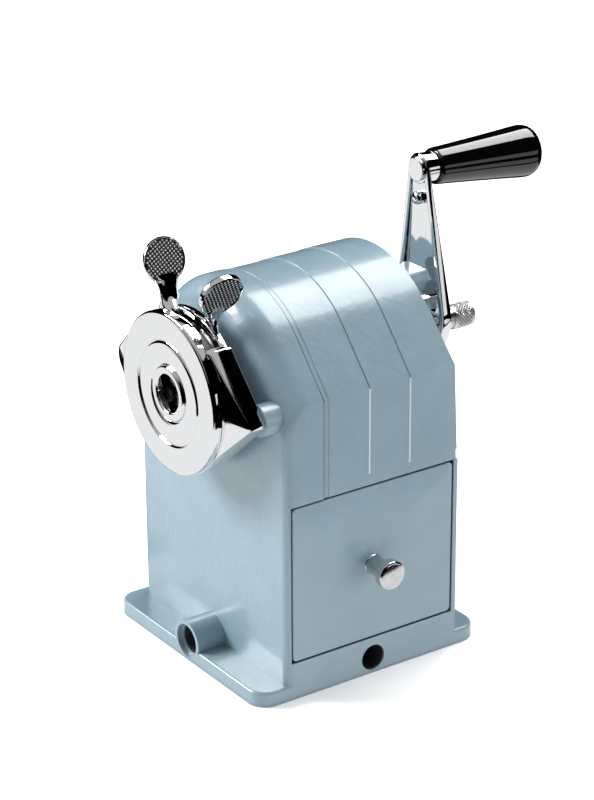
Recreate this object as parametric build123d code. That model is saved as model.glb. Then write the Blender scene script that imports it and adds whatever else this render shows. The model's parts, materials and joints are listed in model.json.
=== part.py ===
"""Desk pencil sharpener with a hand crank, a spring-fed chuck and a shavings drawer.

Every piece is drawn with the front face of the housing at y = 0, the pencil entering
along +Y, the drawer on the +X side and the underside of the base at z = 0.  When a piece
is saved it is moved back so that the origin lies in the middle of the base's underside.
"""

import math
import os

from build123d import *

os.makedirs("parts", exist_ok=True)

# ---------------------------------------------------------------- housing
half_width = 36.0
flange_left = -37.2
base_front = -9.0
base_rear = 65.6
base_mid = 28.0
base_thickness = 4.4
base_corner = 5.5
mat_half_x = 33.0
mat_half_y = 34.0
mat_thickness = 0.6
pocket_top = 8.0
base_split = 18.0
body_depth = 56.9
body_corner = 2.5
wall = 3.0
seam_y = 12.1
seam_gap = 0.45
front_wall = 4.0
brow_radius = 8.0

# clamp sockets and cover screws
clamp_boss_radius = 5.9
clamp_front_radius = 4.2
clamp_front_z = 5.9
clamp_depth = 14.0
clamp_side_radius = 3.77
clamp_side_y = 28.7
clamp_side_z = 4.8
cover_screw_x = 26.0
cover_screw_z = 64.0

# arched roof: vertical sides, sloping shoulders, round top
arch_radius = 31.9
arch_centre_z = 77.9
shoulder_angle = math.radians(41.8)
panel_starts = (14.0, 27.3, 40.5)
panel_inset = 0.3
panel_step = 0.25

# ---------------------------------------------------------------- drawer
bay_floor = 10.95
bay_front = 1.6
bay_rear = 55.6
bay_top = 57.3
bay_wall_front = bay_rear - 1.5
cover_base_z = bay_top
drawer_gap = 0.5
panel_thickness = 2.6
tray_wall = 1.3
tray_top = 50.0
tray_left = -30.0
knob_y = (bay_front + bay_rear) / 2
knob_z = 33.4

# ---------------------------------------------------------------- pencil and crank axis
axis_z = 81.4
pencil_radius = 5.25
fit = 0.05

# ---------------------------------------------------------------- chuck carriage
disc_radius = 22.65
disc_face = -13.3
disc_back = -11.2
plate_front = -8.3
plate_back = -4.0
pocket_floor = -6.2
drum_radius = 22.2
plate_radius = 22.4
plate_top_radius = 22.6
shoulder_corner = (17.2, 17.0)
lug_tip = 33.3
lug_blunt = 0.7
window_angles = (-36, 42)
pocket_radius = 19.3
rod_x = 29.0
rod_radius = 2.5
rod_rear = 46.0
post_radius = 4.4
spring_wire = 0.4
spring_radius = 3.1

# ---------------------------------------------------------------- finger levers and jaws
moving_lever_reach = 35.0
fixed_lever_reach = 34.0
lever_pad_radius = 6.35
lever_pad_thickness = 2.0
moving_lever_angle = -16.2
fixed_lever_angle = 24.8
cam_turn = 25.0
cam_front = -8.2
cam_back = -6.35
cam_radius = 18.6
band_inner = 19.4
band_outer = 21.0
jaw_travel = 3.7
jaw_closed = 1.6
jaw_pin_radius = 12.0
jaw_half = 2.0
jaw_angles = (90, 210, 330)
fixed_lever_y = (plate_back + pocket_floor) / 2
moving_lever_y = (cam_front + cam_back) / 2

# peg on the cam ring, and the pocket for the small spring that pushes it
peg_distance = 16.6
peg_angle = math.radians(-72)
peg_x = peg_distance * math.cos(peg_angle)
peg_z = axis_z + peg_distance * math.sin(peg_angle)
pocket_x = (-7.2, 6.6)
pocket_z = (axis_z - 17.9, axis_z - 14.4)

# ---------------------------------------------------------------- cutter and gears
module = 0.8
ring_teeth = 32
pinion_teeth = 10
gap_width = 1.5
tooth_width = 1.0
cutter_offset = module * (ring_teeth - pinion_teeth) / 2
cutter_front = 13.6
cutter_rear = 38.8
point_half_angle = math.radians(11.5)
gear_front = 40.0
gear_rear = 44.5
cup_rear = 52.0
cup_radius = 17.5
shaft_radius = 4.95
axle_radius = 1.5
stop_radius = 1.4

gear_screw_angles = (60, 180, 300)

# ---------------------------------------------------------------- crank
bearing_radius = 12.8
bearing_rear = 67.5
arm_front = 70.4
arm_depth_hub = 3.4
arm_depth_top = 1.1
arm_reach = 45.2
arm_low_centre = 4.1
arm_low_radius = 11.25
arm_top_radius = 4.45
arm_rail = 2.0
arm_web = 1.0
arm_slant = 2.8
rivet_reach = arm_reach - 8.2
arm_lean = -5.4
spindle_radius = 2.5
grip_front = 4.8
grip_length = 34.9
grip_small_radius = 5.15
grip_large_radius = 7.6
knob_rear = 88.1
knob_radius = 3.75


def save(name, shape):
    """Write one piece, moved so that the origin is under the middle of the base."""
    export_step(Pos(0, -base_mid, 0) * shape, f"parts/{name}.step")


def block(x_range, y_range, z_range):
    """A box between three pairs of limits."""
    lows, highs = zip(x_range, y_range, z_range)
    middle = [(low + high) / 2 for low, high in zip(lows, highs)]
    sizes = [high - low for low, high in zip(lows, highs)]
    return Pos(*middle) * Box(*sizes)


def round_y(radius, y_range, x=0.0, z=0.0):
    """A round bar along Y."""
    start, end = y_range
    return Pos(x, (start + end) / 2, z) * Rot(90, 0, 0) * Cylinder(radius, end - start)


def round_x(radius, x_range, y=0.0, z=0.0):
    """A round bar along X."""
    start, end = x_range
    return Pos((start + end) / 2, y, z) * Rot(0, 90, 0) * Cylinder(radius, end - start)


def slab(face, y_range):
    """An outline drawn on the XZ plane, thickened between two depths."""
    start, end = y_range
    return extrude(Pos(0, start, 0) * face, amount=end - start, dir=(0, 1, 0))


def turned(points, x=0.0, z=axis_z):
    """A piece turned about a line along Y, from (radius, y) outline points."""
    outline = make_face(Polyline(*points, close=True))
    return Pos(x, 0, z) * revolve(outline, Axis.Y)


def around_axis(shape, angle):
    """Turn a piece about the crank axis; positive angles lean towards +X."""
    return Pos(0, 0, axis_z) * Rot(0, angle, 0) * Pos(0, 0, -axis_z) * shape


def arch_face(inset, low_z):
    """The housing's cross-section, drawn in by an inset and cut off at low_z."""
    radius = arch_radius - inset
    half = half_width - inset
    tangent_x = radius * math.cos(shoulder_angle)
    tangent_z = arch_centre_z + radius * math.sin(shoulder_angle)
    bend_z = tangent_z - (half - tangent_x) / math.tan(shoulder_angle)
    right = [(half, low_z), (half, bend_z), (tangent_x, tangent_z)]
    left = [(-x, z) for x, z in reversed(right)]
    top = ThreePointArc(right[-1], (0, arch_centre_z + radius), left[0])
    outline = Polyline(*right) + top + Polyline(*left) + Line(left[-1], right[0])
    return make_face(Plane.XZ * outline)


def spring_y(x, z, y_range, turns):
    """A coil spring with its line along Y."""
    length = y_range[1] - y_range[0] - 2 * spring_wire
    path = Helix(pitch=length / turns, height=length, radius=spring_radius)
    section = Plane(origin=path @ 0, z_dir=path % 0) * Circle(spring_wire)
    coil = sweep(section, path, is_frenet=True)
    return Pos(x, y_range[0] + spring_wire, z) * Rot(-90, 0, 0) * coil


# ================================================================ fixed housing
def housing_casting():
    """Flanged base, drawer bay and front wall with its arched brow, all in one."""
    flange = block((flange_left, half_width), (base_front, base_rear), (0, base_thickness))
    flange = fillet(flange.edges().filter_by(Axis.Z), base_corner)
    flange = fillet(flange.faces().sort_by(Axis.Z)[-1].edges(), 0.8)

    brow = slab(arch_face(0, 0), (0, seam_y))
    arch_edges = brow.faces().sort_by(Axis.Y)[0].edges()
    arch_edges = [edge for edge in arch_edges if edge.center().Z > cover_base_z + 30]
    brow = fillet(arch_edges, brow_radius)
    corners = brow.edges().filter_by(Axis.Z).group_by(Axis.Y)[0]
    brow = fillet(corners, body_corner)
    brow -= slab(arch_face(wall, bay_floor), (front_wall, seam_y + 1))

    box = block((-half_width, half_width), (seam_y, body_depth), (0, cover_base_z))
    body = flange + brow + box
    inner_side = half_width - wall
    body -= block((-inner_side, inner_side), (front_wall, bay_wall_front),
                  (bay_floor, cover_base_z + 1))
    body -= block((inner_side - 0.1, half_width + 1), (bay_front, bay_rear),
                  (bay_floor, bay_top))

    # posts for the guide rods, outside and inside the front wall
    for side in (-1, 1):
        body += round_y(post_radius, (plate_back, front_wall), side * rod_x, axis_z)
        body += round_y(post_radius, (0.5, 7.0), side * rod_x, axis_z)
    body += round_y(13.5, (0.5, 11.5), 0, axis_z)
    for side in (-1, 1):
        body -= round_y(rod_radius + fit, (-5, 8), side * rod_x, axis_z)
    body -= round_y(10.5, (-1, 13), 0, axis_z)

    # hollow underside with two ribs, closed by the rubber mat
    for x_range in ((-31, -11), (-8.5, 8.5), (11, 31)):
        body -= block(x_range, (4, 53), (-1, pocket_top))
    # sockets for a table clamp, one in front and one on the drawer side
    body += round_y(clamp_boss_radius, (base_front, 1.0), 0, clamp_front_z)
    body += round_y(clamp_front_radius + 0.8, (1.0, clamp_depth), 0, clamp_front_z)
    body += round_x(clamp_side_radius + 1.0, (half_width - clamp_depth, half_width - 2),
                    clamp_side_y, clamp_side_z + 0.6)
    mat_recess = block((-mat_half_x, mat_half_x), (base_mid - mat_half_y, base_mid + mat_half_y),
                       (-1, mat_thickness))
    body -= fillet(mat_recess.edges().filter_by(Axis.Z), base_corner - 2)

    body -= round_y(clamp_front_radius, (base_front - 1, clamp_depth), 0, clamp_front_z)
    body -= round_y(clamp_front_radius + 0.6, (base_front - 1, base_front + 1.6), 0,
                    clamp_front_z)
    side_hole = (half_width - clamp_depth, half_width + 1)
    body -= round_x(clamp_side_radius, side_hole, clamp_side_y, clamp_side_z)
    return body


def boss_top():
    """The space in front of the housing that the raised boss reaches into."""
    reach = clamp_boss_radius + 1
    return block((-reach, reach), (base_front - 1, 0), (clamp_front_z, clamp_front_z + reach))


def base_front_part():
    """Front of the flanged base, with the socket in the raised boss."""
    slice_below = block(wide, (base_front - 1, base_split), (-1, bay_floor))
    return casting & (slice_below + boss_top())


def base_rear_part():
    """Rear of the flanged base, with the socket on the drawer side."""
    return casting & block(wide, (base_split, base_rear + 1), (-1, bay_floor))


def front_shell():
    """Front wall with its posts and the arched brow around it."""
    return casting & block(wide, (base_front, seam_y), (bay_floor, 120)) - boss_top()


def bay_walls():
    """Side and rear walls around the drawer."""
    return casting & block(wide, (seam_y, base_rear), (bay_floor, 120))


def base_mat():
    """Thin rubber mat let into the underside."""
    mat = block((-mat_half_x + 0.2, mat_half_x - 0.2),
                (base_mid - mat_half_y + 0.2, base_mid + mat_half_y - 0.2), (0, mat_thickness))
    return fillet(mat.edges().filter_by(Axis.Z), base_corner - 2)


def screw_lugs():
    """Two lugs inside the rear corners that take the cover screws."""
    lugs = []
    for side in (-1, 1):
        x = side * cover_screw_x
        lug = block((x - 4.5, x + 4.5), (45.5, 52.8), (tray_top + 1.5, cover_screw_z + 4.5))
        lug += block((x - 4.5, x + 4.5), (51.5, bay_wall_front), (tray_top + 1.5, cover_base_z))
        lugs.append(lug - round_y(1.25, (45, 54), x, cover_screw_z))
    return Compound(lugs)


def rear_slope(shape):
    """Cut the back of the cover to its slightly leaning plane."""
    back = Plane(origin=(0, 56.5, cover_base_z), z_dir=(0, 1, 0.048))
    return split(shape, bisect_by=back, keep=Keep.BOTTOM)


def top_cover():
    """Arched hood with stepped panels, its rear wall and the crank bearing boss."""
    front = seam_y + seam_gap
    hood = slab(arch_face(panel_inset + 0.12, cover_base_z), (front, 15))
    for step, start in enumerate(panel_starts):
        low_z = cover_base_z + (3.1 if step else 0)
        hood += slab(arch_face(panel_inset - panel_step * step, low_z), (start, 60))
    hood = rear_slope(hood)
    hood -= slab(arch_face(3.2, cover_base_z - 1), (front - 1, 52.8))

    lip = slab(arch_face(wall + 0.1, 88), (9.5, 16)) - slab(arch_face(4.6, 80), (9, 17))
    hood += lip
    hood += round_y(bearing_radius, (53.0, bearing_rear), 0, axis_z)
    hood = fillet(hood.edges().filter_by(GeomType.CIRCLE).sort_by(Axis.Y)[-1], 1.0)
    lobe = Polyline((-2.8, 92), (2.8, 92), (5.3, 97.6), (5.3, 99.9), (-5.3, 99.9), (-5.3, 97.6),
                    close=True)
    lobe = slab(make_face(Plane.XZ * lobe), (53.0, 69.3))
    hood += fillet(lobe.edges().filter_by(Axis.Y), 1.4)
    hood -= round_y(7.0, (50, 70), 0, axis_z)
    for side in (-1, 1):
        hood -= round_y(1.7, (50, 60), side * cover_screw_x, cover_screw_z)
        hood -= round_y(3.0, (54.4, 60), side * cover_screw_x, cover_screw_z)
    for angle in gear_screw_angles:
        hood -= around_axis(round_y(1.0, (52, 54.4), 0, axis_z + 15.7), angle)
    return hood


def screw_y(head_radius, radius, y_range, x, z, head=2.0):
    """A cross-slotted pan screw whose head is at the rear end of its range."""
    start, end = y_range
    screw = round_y(radius, (start, end - head + 0.1), x, z)
    cap = round_y(head_radius, (end - head, end), x, z)
    screw += fillet(cap.edges().sort_by(Axis.Y)[-1], 0.5)
    screw -= block((x - 0.4, x + 0.4), (end - 0.9, end + 1), (z - 1.8, z + 1.8))
    screw -= block((x - 1.8, x + 1.8), (end - 0.9, end + 1), (z - 0.4, z + 0.4))
    return screw


def cover_screws():
    """Two screws that hold the cover, put in from behind."""
    heads = [screw_y(2.9, 1.25, (46.5, 56.1), side * cover_screw_x, cover_screw_z, 1.7)
             for side in (-1, 1)]
    return Compound(heads)


def front_bush():
    """Bronze bush in the front wall that carries the cutter frame's sleeve."""
    return round_y(10.5, (0.3, 11.5), 0, axis_z) - round_y(8.0 + fit, (0, 12), 0, axis_z)


def rear_bush():
    """Bronze bush in the bearing boss that carries the crank shaft."""
    bush = round_y(7.0, (cup_rear + 0.8, bearing_rear), 0, axis_z)
    return bush - round_y(shaft_radius + fit, (50, 70), 0, axis_z)


def gear_outline(teeth, tip, root, thickness):
    """A toothed outline; thickness is the width of a straight-sided tooth at mid height."""
    pitch = 2 * math.pi / teeth
    pitch_radius = module * teeth / 2
    slope = math.tan(math.radians(20))
    corners = []
    for tooth in range(teeth):
        middle = math.pi / 2 + tooth * pitch
        for side, radius in ((-1, root), (-1, tip), (1, tip), (1, root)):
            half = (thickness / 2 - (radius - pitch_radius) * slope) / radius
            angle = middle + side * half
            corners.append((radius * math.cos(angle), radius * math.sin(angle)))
    return make_face(Plane.XZ * Polyline(*corners, close=True))


def ring_gear():
    """Cup with internal teeth, screwed to the inside of the rear wall."""
    pitch_radius = module * ring_teeth / 2
    cup = round_y(cup_radius, (gear_front - 0.5, cup_rear + 0.8), 0, axis_z)
    gaps = gear_outline(ring_teeth, pitch_radius + 1.0, pitch_radius - 0.6, gap_width)
    cup -= Pos(0, 0, axis_z) * slab(gaps, (gear_front - 1, gear_rear + 0.6))
    cup -= round_y(14.2, (gear_rear + 0.5, cup_rear - 1.5), 0, axis_z)
    cup -= round_y(7.2, (40, 60), 0, axis_z)
    for angle in gear_screw_angles:
        cup -= around_axis(round_y(1.0, (48, 60), 0, axis_z + 15.7), angle)
    return cup


def gear_screws():
    """Three studs that hold the ring gear to the rear wall."""
    stud = round_y(1.0, (48.1, 54.3), 0, axis_z + 15.7)
    return Compound([around_axis(stud, angle) for angle in gear_screw_angles])


# ================================================================ drawer
def drawer_front():
    """Painted front panel, flush with the side of the housing."""
    panel = block((half_width - panel_thickness, half_width),
                  (bay_front + drawer_gap, bay_rear - drawer_gap),
                  (bay_floor + drawer_gap, bay_top - drawer_gap))
    panel = fillet(panel.edges().filter_by(Axis.X), 1.2)
    panel = fillet(panel.faces().sort_by(Axis.X)[-1].edges(), 0.35)
    return panel - round_x(1.6, (30, 40), knob_y, knob_z)


def drawer_tray():
    """Open tray that catches the shavings."""
    right = half_width - panel_thickness
    outer = block((tray_left, right), (front_wall + 0.6, 53.3), (bay_floor + 0.4, tray_top))
    outer = fillet(outer.edges().filter_by(Axis.Z), 1.5)
    inner = block((tray_left + tray_wall, right - tray_wall),
                  (front_wall + 0.6 + tray_wall, 53.3 - tray_wall),
                  (bay_floor + 0.4 + tray_wall, tray_top + 1))
    inner = fillet(inner.edges().filter_by(Axis.Z), 1.0)
    return outer - inner - round_x(1.6, (30, 40), knob_y, knob_z)


def drawer_knob():
    """Turned knob: waisted stem and a round, slightly domed head."""
    outline = [(0.9, half_width), (2.8, half_width), (2.65, half_width + 0.6),
               (2.65, half_width + 4.8), (3.3, half_width + 5.7), (4.05, half_width + 6.1),
               (4.15, half_width + 6.6), (4.15, half_width + 8.4), (3.8, half_width + 8.9),
               (2.2, half_width + 9.2), (0, half_width + 9.3), (0, half_width + 5),
               (0.9, half_width + 4.8)]
    face = make_face(Polyline(*[(x, radius) for radius, x in outline], close=True))
    knob = revolve(face, Axis.X)
    return Pos(0, knob_y, knob_z) * knob


def knob_screw():
    """Screw through the tray and the panel into the knob."""
    inside = half_width - panel_thickness - tray_wall
    screw = round_x(0.9, (inside - 0.1, half_width + 4.8), knob_y, knob_z)
    return screw + round_x(2.8, (inside - 1.6, inside), knob_y, knob_z)


# ================================================================ chuck carriage
def plate_outline():
    """Round plate with a pointed lug on each side; the right one has a raised shoulder."""
    spread = math.acos(plate_radius / lug_tip)
    low_x, low_z = plate_radius * math.cos(spread), -plate_radius * math.sin(spread)
    top_spread = math.acos(plate_top_radius / lug_tip)
    left_top = (-plate_top_radius * math.cos(top_spread),
                plate_top_radius * math.sin(top_spread))
    corner_turn = math.atan2(*shoulder_corner)
    right_top = (plate_top_radius * math.sin(corner_turn),
                 plate_top_radius * math.cos(corner_turn))
    blunt_x = lug_tip - lug_blunt * math.tan(math.pi / 2 - spread)
    right = [(low_x, low_z), (blunt_x, -lug_blunt), (blunt_x, lug_blunt), shoulder_corner,
             right_top]
    left = [left_top, (-blunt_x, lug_blunt), (-blunt_x, -lug_blunt), (-low_x, low_z)]
    over = ThreePointArc(right_top, (0, plate_top_radius), left_top)
    under = ThreePointArc(left[-1], (0, -plate_radius), right[0])
    return make_face(Plane.XZ * (Polyline(*right) + over + Polyline(*left) + under))


def sector(radius_range, angle_range, y_range):
    """Part of a ring about the crank axis; angles run from straight up towards +X."""
    inner, outer = radius_range
    start, end = (math.radians(90 - angle) for angle in angle_range)
    middle = (start + end) / 2
    spots = [(r * math.cos(a), r * math.sin(a)) for r in (inner, outer)
             for a in (start, middle, end)]
    outline = (ThreePointArc(*spots[:3]) + Line(spots[2], spots[5])
               + ThreePointArc(*spots[5:2:-1]) + Line(spots[3], spots[0]))
    return Pos(0, 0, axis_z) * slab(make_face(Plane.XZ * outline), y_range)


def chuck_body():
    """Cup that slides on the rods, with a lug on each side and a window on top."""
    body = round_y(drum_radius, (disc_back, plate_back), 0, axis_z)
    flare = turned([(0, disc_back + 0.3), (drum_radius, disc_back + 0.3),
                    (lug_tip - 1.9, plate_front - 0.6), (lug_tip + 0.3, pocket_floor),
                    (lug_tip + 0.3, plate_back), (0, plate_back)])
    body += flare & Pos(0, 0, axis_z) * slab(plate_outline(), (disc_back, plate_back))
    body -= round_y(pocket_radius, (disc_back - 1, pocket_floor), 0, axis_z)
    body -= sector((18.0, 30.0), window_angles, (disc_back + 0.4, pocket_floor))
    body -= sector((18.0, band_outer + 0.2), (-38, 62), (disc_back + 0.4, pocket_floor))
    body += round_y(7.0, (cam_front, plate_back), 0, axis_z)
    body -= round_y(pencil_radius + 0.15, (-13, 0), 0, axis_z)
    for side in (-1, 1):
        body -= round_y(rod_radius, (-7.5, 0), side * rod_x, axis_z)
    return body


def front_disc():
    """Polished face disc with two ring grooves."""
    face = disc_face
    return turned([(7.8, disc_back), (7.8, face + 0.75), (8.2, face + 0.5), (8.7, face + 0.2),
                   (9.8, face), (12.6, face), (13.8, face + 0.15), (14.3, face + 0.4),
                   (14.6, face + 0.75), (14.9, face + 0.4), (15.6, face + 0.15),
                   (16.6, face + 0.05), (21.7, face + 0.05), (22.15, face + 0.25),
                   (disc_radius, face + 0.7), (disc_radius, disc_back)])


def nose_collar():
    """Rounded steel ring where the pencil goes in."""
    face = disc_face
    return turned([(pencil_radius, disc_back), (pencil_radius, face + 0.1),
                   (5.6, face - 0.25), (6.2, face - 0.45), (6.8, face - 0.45),
                   (7.4, face - 0.2), (7.7, face + 0.25), (7.8, face + 0.75),
                   (7.8, disc_back)])


def guide_rod(side):
    """Polished rod fixed in a chuck lug and sliding through its post."""
    rod = round_y(rod_radius, (-7.5, rod_rear), side * rod_x, axis_z)
    groove = round_y(3.0, (rod_rear - 2.0, rod_rear - 1.2), side * rod_x, axis_z)
    groove -= round_y(2.0, (rod_rear - 2.1, rod_rear - 1.1), side * rod_x, axis_z)
    return rod - groove


def rod_clips():
    """Retaining clips in the rods' rear grooves, which also seat the springs."""
    clips = []
    for side in (-1, 1):
        ring = round_y(3.6, (rod_rear - 2.0, rod_rear - 1.2), side * rod_x, axis_z)
        ring -= round_y(2.0, (rod_rear - 3, rod_rear), side * rod_x, axis_z)
        middle = side * rod_x
        ring -= block((middle - 1.2, middle + 1.2), (rod_rear - 3, rod_rear),
                      (axis_z - 4, axis_z - 1))
        clips.append(ring)
    return Compound(clips)


def rod_springs():
    """Springs inside the housing that draw the chuck back in."""
    return Compound([spring_y(side * rod_x, axis_z, (7.0, rod_rear - 2.0), 10)
                     for side in (-1, 1)])


def lever(y_middle, angle, reach, root_radius):
    """Finger lever: round pad standing on a narrow stem, seen edge-on from the front."""
    pad = Pos(0, y_middle, axis_z + reach) * Rot(0, 90, 0) * Cylinder(
        lever_pad_radius, lever_pad_thickness)
    pad = fillet(pad.edges().filter_by(GeomType.CIRCLE), 0.3)
    stem = block((-1.2, 1.2), (y_middle - 2.6, y_middle + 2.6),
                 (axis_z + 24.6, axis_z + reach - 5.5))
    stem = fillet(stem.edges().filter_by(Axis.Z), 0.8)
    root = block((-3.2, 3.2), (y_middle - 0.9, y_middle + 0.9),
                 (axis_z + root_radius, axis_z + 25.0))
    return around_axis(pad + stem + root, angle)


def fixed_lever():
    """Lever that stands still, fixed to the chuck's back plate."""
    finger = lever(fixed_lever_y, fixed_lever_angle, fixed_lever_reach, 22.0)
    return finger - round_y(plate_top_radius, (-20, 5), 0, axis_z)


def moving_lever():
    """Lever that turns with the cam ring, with the curved band seen in the window."""
    finger = lever(moving_lever_y, moving_lever_angle, moving_lever_reach, 18.0)
    finger += sector((band_inner, band_outer), (-34, 31), (disc_back + 0.5, cam_front - 0.5))
    finger += sector((band_inner, band_outer), (-30, -4), (cam_front - 0.55, cam_back - 0.1))
    finger += sector((cam_radius - 0.5, 22.8), (-26, 13), (cam_front + 0.6, cam_back - 0.1))
    return finger - round_y(cam_radius, (-20, 5), 0, axis_z)


def cam_ring():
    """Ring with three spiral slots that move the jaws, and a peg for its spring."""
    ring = round_y(cam_radius, (cam_front, cam_back), 0, axis_z)
    ring -= round_y(7.0 + fit, (-10, 0), 0, axis_z)
    steps = 10
    for jaw_angle in jaw_angles:
        for step in range(steps + 1):
            share = step / steps
            turn = math.radians(jaw_angle + cam_turn * share)
            radius = jaw_pin_radius + jaw_travel * share
            ring -= round_y(1.15, (-10, 0), radius * math.cos(turn),
                            axis_z + radius * math.sin(turn))
    ring += round_y(0.7, (-10.4, cam_front + 0.2), peg_x, peg_z)
    return ring


def jaw_guide():
    """Disc behind the face with three radial tracks for the jaws."""
    guide = round_y(pocket_radius, (disc_back, cam_front - 0.1), 0, axis_z)
    guide -= round_y(pencil_radius + 0.6, (-12, 0), 0, axis_z)
    track = block((-jaw_half - fit, jaw_half + fit), (-12, 0), (axis_z, axis_z + 18.0))
    for jaw_angle in jaw_angles:
        guide -= around_axis(track, 90 - jaw_angle)
    guide -= block(pocket_x, (-11.0, 0), pocket_z)
    return guide


def jaw(jaw_angle):
    """Jaw with a toothed tip and a pin in the cam ring's slot."""
    low = axis_z + jaw_closed
    high = axis_z + jaw_pin_radius + 1.8
    bevel = low + jaw_half * math.tan(math.radians(30))
    outline = Polyline((0, low), (jaw_half, bevel), (jaw_half, high), (-jaw_half, high),
                       (-jaw_half, bevel), close=True)
    body = slab(make_face(Plane.XZ * outline), (disc_back + 0.1, cam_front - 0.15))
    body += round_y(0.8, (-9.0, cam_back + 0.1), 0, axis_z + jaw_pin_radius)
    return around_axis(body, 90 - jaw_angle)


def lever_spring():
    """Small spring that turns the cam ring back and closes the jaws."""
    start, end = pocket_x[0] + 0.25, peg_x - 1.0
    path = Helix(pitch=(end - start) / 8, height=end - start, radius=1.05)
    section = Plane(origin=path @ 0, z_dir=path % 0) * Circle(0.2)
    coil = sweep(section, path, is_frenet=True)
    return Pos(start, -9.7, (pocket_z[0] + pocket_z[1]) / 2 - 0.1) * Rot(0, 90, 0) * coil


# ================================================================ cutter frame, on the crank
def cutter_frame():
    """Rotating yoke: a front sleeve, two cheeks and a web opposite the cutter."""
    frame = round_y(8.0, (1.0, 12.5), 0, axis_z)
    frame += round_y(12.0, (11.6, 13.2), 0, axis_z)
    frame += round_y(11.6, (45.4, 50.0), 0, axis_z)
    frame += sector((7.6, 11.4), (120, 240), (12.0, 46.0))
    frame -= round_y(pencil_radius + 0.2, (0, 14), 0, axis_z)
    frame -= round_y(axle_radius + fit, (9, 48.6), 0, axis_z + cutter_offset)
    frame -= round_y(shaft_radius - 1.0, (45, 51), 0, axis_z)
    return frame


def crank_shaft():
    """Hollow shaft from the cutter frame through the rear bearing to the arm."""
    shaft = round_y(shaft_radius, (50.0, arm_front - 2.2), 0, axis_z)
    shaft += round_y(shaft_radius - 1.0, (45.4, 78.0), 0, axis_z)
    shaft -= round_y(stop_radius + fit, (45, 70), 0, axis_z)
    return shaft - round_y(2.0 + fit, (66, 80), 0, axis_z)


def cutter():
    """Tapered milling cutter whose edge lies along the pencil's point."""
    large = cutter_offset - 0.2
    small = large - (cutter_rear - cutter_front) * math.tan(point_half_angle)
    centre_z = axis_z + cutter_offset
    blank = turned([(axle_radius, cutter_front), (small, cutter_front), (large, cutter_rear),
                    (axle_radius, cutter_rear)], 0, centre_z)
    groove = block((-0.35, 0.35), (cutter_front - 1, cutter_rear + 1), (0, 3))
    tilt = math.degrees(point_half_angle)
    flutes = 12
    for flute in range(flutes):
        cut = Pos(0, cutter_front, small - 0.8) * Rot(tilt, 0, 0) * Pos(0, -cutter_front, 0) * groove
        blank -= Pos(0, 0, centre_z) * Rot(0, 360 * flute / flutes, 0) * cut
    return blank


def pinion():
    """Small gear on the cutter's axle that runs inside the ring gear."""
    pitch_radius = module * pinion_teeth / 2
    teeth = gear_outline(pinion_teeth, pitch_radius + 0.55, pitch_radius - 0.85, tooth_width)
    gear = Pos(0, 0, axis_z + cutter_offset) * slab(teeth, (gear_front, gear_rear))
    return gear - round_y(axle_radius, (30, 50), 0, axis_z + cutter_offset)


def cutter_axle():
    """Steel axle of the cutter and its pinion."""
    return round_y(axle_radius, (11.8, 48.5), 0, axis_z + cutter_offset)


def point_stop():
    """Pin that the pencil's point meets when it is sharp."""
    return round_y(stop_radius, (39.4, 66.0), 0, axis_z)


# ================================================================ crank arm and handle
def on_arm(shape):
    """Place a piece drawn on the upright arm: hub at the origin, arm along +Z."""
    slanted = Pos(0, arm_front, axis_z) * Rot(-arm_slant, 0, 0) * shape
    return around_axis(slanted, arm_lean)


def teardrop(inset):
    """The arm's outline: a large round end drawn up to a small one."""
    low, high = arm_low_radius - inset, arm_top_radius - inset
    span = arm_reach - arm_low_centre
    tilt = math.asin((low - high) / span)
    outline = []
    for radius, z in ((low, arm_low_centre), (high, arm_reach)):
        outline.append((radius * math.cos(tilt), z + radius * math.sin(tilt)))
    right_low, right_high = outline
    left_low, left_high = (-right_low[0], right_low[1]), (-right_high[0], right_high[1])
    edges = (Line(right_low, right_high)
             + ThreePointArc(right_high, (0, arm_reach + high), left_high)
             + Line(left_high, left_low)
             + ThreePointArc(left_low, (0, arm_low_centre - low), right_low))
    return make_face(Plane.XZ * edges)


def arm_slice(inset, back_off):
    """The outline thickened from the front plane to the tapering back plane."""
    taper = (arm_depth_hub - arm_depth_top) / arm_reach
    back = Plane(origin=(0, arm_depth_hub - back_off, 0), z_dir=(0, 1, taper))
    return split(slab(teardrop(inset), (-0.5 if back_off else 0, 6)), bisect_by=back,
                 keep=Keep.BOTTOM)


def crank_arm():
    """Channel-shaped arm: a raised rail all round, a thin web, hub and spindle boss."""
    arm = arm_slice(0, 0)
    arm = fillet(arm.faces().sort_by(Axis.Y)[0].edges(), 0.6)
    arm -= arm_slice(arm_rail, arm_web)
    arm += round_y(8.6, (-2.1, arm_depth_hub - 0.3), 0, 0)
    arm += round_y(arm_top_radius - 0.15, (0, grip_front), 0, arm_reach)
    arm = on_arm(arm)
    arm += round_y(6.2, (arm_front + 2.0, 78.0), 0, axis_z)
    arm -= on_arm(round_y(spindle_radius, (-1, 6), 0, arm_reach))
    arm -= on_arm(round_y(1.1, (0, 3), 0, rivet_reach))
    arm -= round_y(shaft_radius, (60, arm_front - 2.2), 0, axis_z)
    return arm - round_y(shaft_radius - 1.0, (60, 80), 0, axis_z)


def grip_spindle():
    """Riveted pin that the grip turns on, with its flush head in the arm's boss."""
    pin = round_y(spindle_radius, (-0.35, grip_front + grip_length - 6), 0, arm_reach)
    head = round_y(spindle_radius + 1.0, (-0.9, 0.0), 0, arm_reach)
    head = fillet(head.edges().sort_by(Axis.Y)[0], 0.3)
    return on_arm(pin + head)


def arm_rivet():
    """Small rivet in the web below the spindle boss."""
    head = round_y(1.9, (-1.4, 0.4), 0, rivet_reach)
    head = fillet(head.edges().sort_by(Axis.Y)[0], 0.6)
    return on_arm(head + round_y(1.1, (0.3, 1.55), 0, rivet_reach))


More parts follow.
